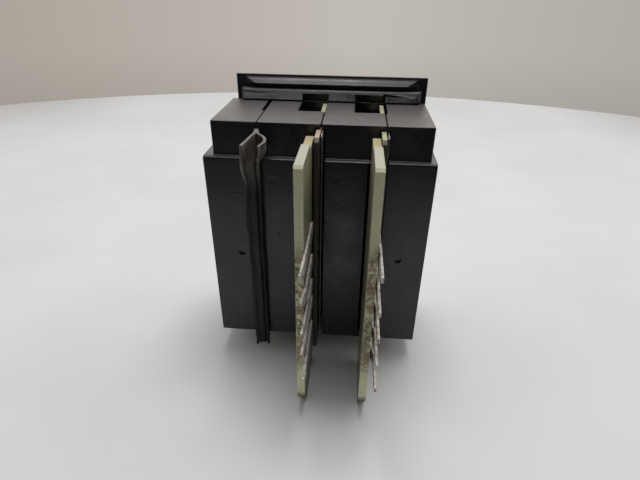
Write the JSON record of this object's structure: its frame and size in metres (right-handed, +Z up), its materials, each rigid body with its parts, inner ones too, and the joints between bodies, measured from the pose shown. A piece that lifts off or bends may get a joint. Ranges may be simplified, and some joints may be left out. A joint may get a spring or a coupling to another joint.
{
  "type": "thumbwheel switch",
  "caption": "Panel thumbwheel switch: moulded digit modules between end caps behind a one-piece bezel, with circuit boards and terminal lugs standing out at the rear.",
  "frame": {"origin": "bottom centre of the whole part's bounding box, level with the bezel's foot and the lower edges of the rear boards", "axes": "+Z up, -Y towards the operator, +X to the operator's right, rear boards point to +Y"},
  "size_m": [0.047, 0.0527, 0.0625],
  "materials": {
    "shell": "semi-gloss moulded black",
    "rubber": "matt black",
    "glass_board": "glass-epoxy laminate, sawn edges",
    "brown_board": "brown paper laminate",
    "tin": "dull tinned",
    "brass": "bright spring brass",
    "steel": "plated steel",
    "wheel_black": "satin moulded black",
    "digit_white": "satin white"
  },
  "bodies": {
    "switch_body": {"front_bezel": "shell", "bezel_screw_1": "steel", "bezel_screw_2": "steel", "bezel_screw_3": "steel", "bezel_screw_4": "steel", "left_end_cap": "shell", "right_end_cap": "shell", "tens_module_housing": "shell", "tens_circuit_board": "glass_board", "tens_backer_board": "brown_board", "tens_insulating_film": "rubber", "tens_terminal_lug_1": "tin", "tens_terminal_lug_2": "tin", "tens_terminal_lug_3": "tin", "tens_terminal_lug_4": "tin", "tens_terminal_lug_5": "tin", "tens_wheel_axle": "steel", "tens_detent_spring": "brass", "units_module_housing": "shell", "units_circuit_board": "glass_board", "units_backer_board": "brown_board", "units_insulating_film": "rubber", "units_terminal_lug_1": "tin", "units_terminal_lug_2": "tin", "units_terminal_lug_3": "tin", "units_terminal_lug_4": "tin", "units_terminal_lug_5": "tin", "units_wheel_axle": "steel", "units_detent_spring": "brass", "lower_tie_rod": "steel", "lower_tie_nut": "steel", "upper_tie_rod": "steel", "upper_tie_nut": "steel", "folded_insulator": "rubber"},
    "tens_wheel": {"tens_thumbwheel": "wheel_black", "tens_digit_ring": "digit_white", "tens_wiper_contact": "brass"},
    "units_wheel": {"units_thumbwheel": "wheel_black", "units_digit_ring": "digit_white", "units_wiper_contact": "brass"}
  },
  "joints": [
    {"name": "tens_wheel_turn", "type": "hinge", "parent": "switch_body", "child": "tens_wheel", "pos_m": [-0.0058, -0.01555, 0.031], "axis": [1, 0, 0], "continuous": true},
    {"name": "units_wheel_turn", "type": "hinge", "parent": "switch_body", "child": "units_wheel", "pos_m": [0.0069, -0.01555, 0.031], "axis": [1, 0, 0], "continuous": true}
  ]
}
